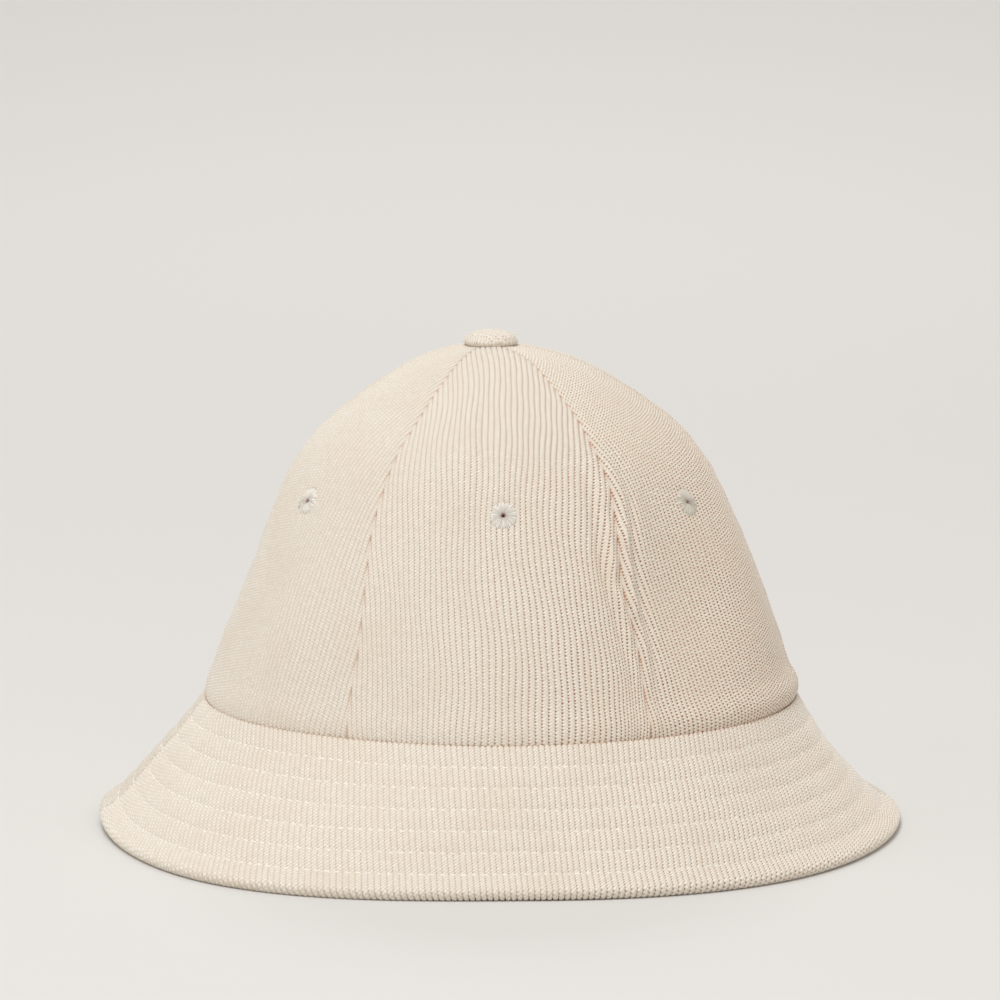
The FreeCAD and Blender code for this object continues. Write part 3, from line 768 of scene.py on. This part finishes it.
def brim_bearing(across, along):
    """How far round from the half's centre a point of the flat cut lies once the brim is made up."""
    return np.arcsin(np.clip(across / (FLAT_RADIUS + along), -1, 1)) / math.cos(BRIM_SLOPE)


def brim_levels(end):
    """Rows of the grid, close together at the seam, the stitch rows and the rolled edge."""
    near_row = np.array([-1.6, -0.8, 0, 0.8, 1.6]) * MM
    parts = [np.array([0, 0.5, 1.1, 1.8, 2.8, 4.2]) * MM,
             (ROWS[:, None] + near_row).ravel(),
             ROWS + ROW_PITCH / 2,
             np.linspace(BRIM_RUN, end, 12)]
    levels = np.unique(np.round(np.concatenate(parts), 7))
    return levels[levels <= end + TINY]


def to_nearest_row(along):
    """How far a run down the brim is from the nearest stitch row."""
    return np.abs(along[..., None] - ROWS).min(axis=-1)


def make_brim_cloth(name, half, centre, underside, end):
    """Upper or under cloth of one half, its wales parallel to the half's centre line."""
    half_width = (FLAT_RADIUS + end) * math.sin(FLAT_HALF)
    steps = WALE_STEPS[::2] + (0.87,) if underside else WALE_STEPS

    def place(across, along, lift):
        if underside:
            return brim_point(centre - brim_bearing(across, along), along, -UNDER_DEPTH - lift)
        return brim_point(centre + brim_bearing(across, along), along, lift)

    def to_side(across, along):
        radius = SEAM_RADIUS + along * math.cos(BRIM_SLOPE)
        return (math.pi / 2 - np.abs(brim_bearing(across, along))) * radius

    def to_seam(across, along):
        return np.minimum(to_side(across, along), along)

    def relief(across, along):
        """Wales, prouder on the turned edge, drawn in by the stitch rows and the seams."""
        lift = wale_height(across) * (1 + 0.8 * smooth((along - BRIM_RUN) / (1.5 * MM)))
        lift -= 0.3 * MM * bell(to_nearest_row(along), 0.7 * MM)
        if underside:
            return lift - 0.3 * MM * bell(to_side(across, along), 0.8 * MM)
        lift += 0.2 * MM * smooth(to_nearest_row(along) / (ROW_PITCH / 2))
        lift -= 0.3 * MM * bell(along, 0.7 * MM)
        drawn_in = 0.35 + 0.65 * groove_share(across)
        return lift - 0.35 * MM * drawn_in * bell(to_side(across, along), 0.6 * MM)

    cloth = cloth_shell(f"brim_{name}_cloth_{half}", wale_columns(half_width, steps), brim_levels(end),
                        brim_start, place, relief, CLOTH, [BRIM_CORDUROY, CORDUROY_BACK], None, to_seam)
    finish_piece(cloth, f"brim_{name}_{half}")


def make_stiffener(half, centre):
    """The interlining between the brim's two cloths."""
    begin, end = 1 * MM, BRIM_RUN - 1 * MM
    half_width = (FLAT_RADIUS + end) * math.sin(FLAT_HALF)

    def start(across):
        return np.maximum(brim_start(across), begin)

    def place(across, along, lift):
        return brim_point(centre + brim_bearing(across, along), along, lift - CLOTH - BRIM_PLY_GAP)

    def relief(across, along):
        return np.zeros_like(across)

    columns = np.linspace(-half_width, half_width, 120)
    levels = np.linspace(begin, end, 16)
    ply = cloth_shell(f"brim_stiffener_{half}", columns, levels, start, place, relief, STIFFENER,
                      [INTERLINING, INTERLINING])
    finish_piece(ply, f"brim_interlining_{half}")


# ---------------- stitching

STITCH = 3.1 * MM
THREAD = 0.32 * MM


def stitch_line(name, total, place):
    """Stitches in one mesh, no two alike. place(run, lift, side) gives points at a run along the line."""
    count = int(total / STITCH)
    pitch = total / count
    rings, sides = 7, 6
    middle = (np.arange(count) + 0.5) * pitch
    length = pitch * (0.40 + 0.03 * rng.standard_normal(count))
    t = np.linspace(-1, 1, rings)
    angle = full_turn(sides)
    run = middle[:, None, None] + length[:, None, None] * t[None, :, None] + 0 * angle
    thick = THREAD * np.sqrt(np.clip(1.02 - t ** 4, 0, 1))[None, :, None]
    sunk = 0.1 * MM * np.abs(rng.standard_normal(count))[:, None, None]
    arch = 0.30 * MM * (1 - t ** 2)[None, :, None] - 0.18 * MM - sunk
    slant = 0.12 * MM * t[None, :, None] + 0.05 * MM * rng.standard_normal(count)[:, None, None]
    points = place(run, arch + thick * np.sin(angle), slant + thick * np.cos(angle))
    base = np.arange(count)[:, None, None] * rings * sides
    ids = base + np.arange(rings)[None, :, None] * sides + np.arange(sides)[None, None, :]
    nxt = np.roll(ids, -1, axis=2)
    tube = np.stack([ids[:, :-1], nxt[:, :-1], nxt[:, 1:], ids[:, 1:]], axis=-1).reshape(-1, 4)
    caps = []
    for loop in (ids[:, 0], ids[:, -1, ::-1]):
        caps += [loop[:, [0, 3, 2, 1]], loop[:, [0, 5, 4, 3]]]
    return make_mesh(name, points.reshape(-1, 3), np.concatenate([tube] + caps), None, [THREAD_COTTON])


def make_stitch_row(number):
    """One ring of stitches round the brim."""
    along = ROWS[number]
    radius = float(BRIM.at(along)[0])

    def place(run, lift, side):
        sunk = 0.12 + 0.2 * from_bearing(run / radius, 75, 50)
        return brim_point(run / radius, along + side, lift - sunk * MM)

    row = stitch_line(f"stitches_row_{number + 1}", 2 * math.pi * radius, place)
    finish_piece(row, f"brim_stitch_row_{number + 1}")


# ---------------- button

def make_button():
    """The cloth-covered button, a low pillow; its cloth lies at a slant."""
    low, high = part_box("button_cover")
    rim = high.x
    base = low.z - 0.6 * MM
    rise = high.z - base
    t = np.linspace(0, math.pi / 2, 34)
    radius = np.concatenate([rim * np.sin(t), rim * np.array([0.985, 0.93, 0.84, 0.6, 0.3, 0.0])])
    edge = 0.3 * rise
    height = np.concatenate([edge + (rise - edge) * np.cos(t), np.array([0.7, 0.35, 0.1, 0, 0, 0]) * edge])
    around = full_turn(220)
    x, y = radius[None, :] * np.cos(around)[:, None], radius[None, :] * np.sin(around)[:, None]
    slant = math.radians(58)
    across = x * math.cos(slant) + y * math.sin(slant)
    outer = np.zeros_like(radius)
    outer[:len(t)] = smooth((rim - radius[:len(t)]) / (1.2 * MM)) * 0.9 + 0.1
    pucker = 0.15 * MM * np.sin(17 * around)[:, None] * smooth(radius / rim * 1.6 - 0.6)[None, :]
    z = base + height[None, :] + 0.6 * wale_height(across) * outer[None, :] + pucker * outer[None, :]
    points = np.stack([x + APEX_LEAN, y, z], axis=-1).reshape(-1, 3)
    ids = ring_ids(len(around), len(radius), False)
    ids[:, 0], ids[:, -1] = 0, len(radius) - 1
    along = y * math.cos(slant) - x * math.sin(slant)
    uvs = np.stack([across / WALE, along / WALE], axis=-1).reshape(-1, 2)
    no_seam_near = np.full(len(points), rim)
    cover = tidy_mesh("button_cloth", points, grid_faces(ids), uvs, [BRIM_CORDUROY], no_seam_near)
    finish_piece(cover, "button_cover")


def make_button_disc(name, crowning):
    """The pressed shell under the cover, or the washer inside the crown: a disc with a bore, bent down."""
    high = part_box(name)[1]
    bore, sheet = 1.7 * MM, 0.5 * MM
    share = np.linspace(0, 1, 12)
    across = bore + (high.x - 0.2 * MM - bore) * share
    upper = high.z - 0.3 * MM - crowning * share ** 2
    radius = np.concatenate([across, across[::-1]])
    height = np.concatenate([upper, (upper - sheet)[::-1]])
    finish_button_metal(name, radius, height)


def make_button_shank():
    """The hollow shank, whose foot is closed over the washer."""
    low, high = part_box("button_shank")
    bore, outer = 0.7 * MM, high.x - 0.2 * MM
    up = np.linspace(low.z, high.z, 12)
    finish_button_metal("button_shank", np.repeat([bore, outer], len(up)), np.concatenate([up, up[::-1]]))


def finish_button_metal(name, radius, height):
    """Turn a piece of the button's metal under the leaning top."""
    ring = ring_mesh(f"{name}_metal", radius, height, METAL, shift=APEX_LEAN, around_count=96)
    finish_piece(ring, name)


# ---------------- inside

def make_tape(name, bearing):
    """A woven tape down the inside of a crown seam."""
    centre = math.radians(bearing) + CROWN_TWIST
    half_width, thickness, gap = 5.5 * MM, 0.35 * MM, 0.75 * MM
    levels = np.linspace(11 * MM, CROWN.length - 0.8 * MM, 90)

    def start(across):
        return np.full_like(across, levels[0])

    def place(across, along, lift):
        radius = CROWN.at(along)[0]
        return crown_point(centre - across / radius, along, -CLOTH - gap - lift)

    def relief(across, along):
        """A thicker selvedge on both sides, a little rippled."""
        ripple = 0.08 * MM * np.sin(along / (3.1 * MM) + 4 * np.sign(across))
        return 0.12 * MM * bell(np.abs(across) - 4.4 * MM, 0.5 * MM) + ripple

    columns = np.linspace(-half_width, half_width, 23)
    tape = cloth_shell(f"tape_{name}", columns, levels, start, place, relief, thickness, [TAPE, TAPE])
    finish_piece(tape, f"seam_tape_{name}")


def ring_mesh(name, radius, height, material, shift=0, around_count=360,
              waves=lambda bearing, height: 0 * bearing):
    """A closed section carried round the axis; waves(bearing, height) moves it outwards."""
    around = full_turn(around_count)
    reach = radius[None, :] + waves(around[:, None], height[None, :])
    points = point_at(around[:, None], reach, height, shift)
    ids = ring_ids(around_count, len(radius), True)
    section = np.concatenate([[0], np.cumsum(np.hypot(np.diff(radius), np.diff(height)))])
    flat_places = np.broadcast_arrays((around * radius.mean() / MM)[:, None], (section / MM)[None, :])
    uvs = np.stack(flat_places, axis=-1).reshape(-1, 2)
    return make_mesh(name, points.reshape(-1, 3), grid_faces(ids), uvs, [material])


def make_sweatband():
    """A folded twill band, sewn in at the crown seam and turned over at its top edge."""
    low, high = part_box("sweatband")
    foot_radius, bottom, top = high.x, low.z, high.z
    lean = math.tan(math.radians(17.2))
    thickness = 1.0 * MM
    fold_row, hem_row = 0.9, 0.84       # the turned edge and the stitches below it, as shares of the height
    rows = np.linspace(0, 1, 24)
    rise = (top - bottom) * rows
    outer = foot_radius - rise * lean
    swell = 0.35 * MM * bell(rows - fold_row, 0.05) - 0.3 * MM * bell(rows - hem_row, 0.015)
    swell += 0.3 * MM * np.sin(rows * math.pi)
    inner = outer - thickness - swell
    radius = np.concatenate([outer, inner[::-1]])
    height = np.concatenate([bottom + rise, (bottom + rise)[::-1]])

    def waves(bearing, height):
        """Small ripples, and the band gives way where the crown's cloth is pressed in."""
        ripple = 0.12 * MM * np.sin(11 * bearing) + 0.1 * MM * np.sin(23 * bearing + 1)
        return ripple + np.minimum(crown_shape(bearing, CROWN.length + SEAM_HEIGHT - height), 0)

    band = ring_mesh("sweatband_twill", radius, height, TWILL, waves=waves)
    finish_piece(band, "sweatband")
    stitch_radius = float(np.interp(hem_row, rows, inner)) - 0.05 * MM
    stitch_height = bottom + hem_row * (top - bottom)

    def place(run, lift, side):
        bearing = run / stitch_radius
        reach = stitch_radius - lift - side * lean + waves(bearing, stitch_height)
        return point_at(bearing, reach, stitch_height + side)

    hem = stitch_line("sweatband_stitches", 2 * math.pi * stitch_radius, place)
    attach(hem, HAT)


def make_label():
    """A blank satin label, hanging from its sewn top edge."""
    low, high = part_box("care_label")
    wide = np.linspace(low.x, high.x, 25)
    down = np.linspace(high.z, low.z, 36)
    x, z = np.meshgrid(wide, down, indexing="ij")
    drop = (high.z - z) / (high.z - low.z)
    across = 2 * (x - low.x) / (high.x - low.x) - 1
    curl = 0.9 * MM * drop ** 2 * across ** 2 - 0.4 * MM * np.sin(drop * math.pi)
    y = (low.y + high.y) / 2 - curl
    selvedge = np.abs(across) > 0.92
    thick = 0.16 * MM + 0.1 * MM * selvedge
    front = np.stack([x, y - thick, z], axis=-1).reshape(-1, 3)
    back = np.stack([x, y + thick, z], axis=-1).reshape(-1, 3)
    ids = np.arange(x.size).reshape(x.shape)
    faces = grid_faces(ids)[:, ::-1]
    uvs = np.stack([x.ravel(), z.ravel()], axis=-1) / MM
    all_faces = np.concatenate([faces, faces[:, ::-1] + x.size, wall_faces(faces, x.size)])
    points = np.concatenate([front, back])
    label = make_mesh("care_label_satin", points, all_faces, np.tile(uvs, (2, 1)), [SATIN])
    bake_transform(label)
    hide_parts("care_label")


# ---------------- stage, light and camera

def make_stage():
    """A pale round sweep: a floor that curves up all round, more and more steeply."""
    flat, rim, lip = 1.2, 4.6, 0.8
    radius = np.concatenate([[0.02, 0.6], np.linspace(flat, rim, 30)])
    height = lip * np.clip((radius - flat) / (rim - flat), 0, 1) ** 3
    around = full_turn(128)
    x, y = radius * np.sin(around)[:, None], radius * np.cos(around)[:, None]
    points = np.stack(np.broadcast_arrays(x, y, height), axis=-1).reshape(-1, 3)
    ids = ring_ids(len(around), len(radius), False)
    ids[:, 0] = 0
    paper = Nodes("paper")
    speckle = paper.noise(paper.place(), 60.0, 3.0)
    paper.surface(Base_Color=paper.mix(paper.math("MULTIPLY", speckle, 0.06), colour(219, 217, 214),
                                       colour(206, 204, 201)), Roughness=0.95)
    tidy_mesh("sweep", points, grid_faces(ids), None, [paper.material])


def make_light(name, place, aim, size, power, tint):
    """A round area light."""
    lamp = bpy.data.lights.new(name, "AREA")
    lamp.shape = "DISK"
    lamp.size = size
    lamp.energy = power
    lamp.color = tint
    holder = bpy.data.objects.new(name, lamp)
    holder.location = place
    holder.rotation_euler = (Vector(aim) - Vector(place)).to_track_quat("-Z", "Y").to_euler()
    bpy.context.scene.collection.objects.link(holder)


def make_lights():
    """A large key light above the camera, weak fills from the side and the front, a light on the sweep."""
    middle = (0, 0, SEAM_HEIGHT * 2)
    make_light("key", (-0.45, -1.1, 2.65), middle, 1.4, 42, (0.97, 0.987, 1.0))
    make_light("side", (-2.8, -1.5, 1.3), middle, 2.0, 5, (0.96, 0.98, 1.0))
    make_light("front", (0.3, -2.6, 0.8), middle, 1.6, 6.5, (1.0, 0.985, 0.96))
    make_light("rear", (0, 2.4, 2.3), (0, 2.1, 0), 1.2, 22, (0.97, 0.985, 1.0))
    world = bpy.data.worlds.new("soft_room")
    world.use_nodes = True
    background = world.node_tree.nodes["Background"]
    background.inputs["Color"].default_value = (1.0, 0.965, 0.925, 1)
    background.inputs["Strength"].default_value = 0.56
    bpy.context.scene.world = world
    bpy.context.scene.view_settings.view_transform = "Standard"


def make_camera():
    """The photograph's view: from the front, a little above, with a long lens."""
    distance, elevation = 1.5, math.radians(11.46)
    aim = Vector((0, 0, 0.104))
    lens = bpy.data.cameras.new("camera")
    lens.sensor_width = 36
    lens.lens = 164.9
    camera = bpy.data.objects.new("camera", lens)
    camera.location = (0, -distance * math.cos(elevation), distance * math.sin(elevation))
    camera.rotation_euler = (aim - camera.location).to_track_quat("-Z", "Y").to_euler()
    bpy.context.scene.collection.objects.link(camera)
    bpy.context.scene.camera = camera


# ---------------- making it

make_stage()
make_lights()
make_camera()
for panel, panel_bearing in PANELS.items():
    make_panel(panel, panel_bearing)
    make_eyelet(panel, panel_bearing)
for seam, seam_bearing in SEAMS.items():
    make_tape(seam, seam_bearing)
for half, half_bearing in (("front", BRIM_TWIST), ("back", math.pi + BRIM_TWIST)):
    make_brim_cloth("upper", half, half_bearing, False, BRIM.length)
    make_brim_cloth("under", half, half_bearing, True, BRIM_RUN + 0.3 * MM)
    make_stiffener(half, half_bearing)
for row_number in range(ROW_COUNT):
    make_stitch_row(row_number)
make_button()
make_button_disc("button_shell", 1.6 * MM)
make_button_shank()
make_button_disc("button_washer", 0.3 * MM)
make_sweatband()
make_label()
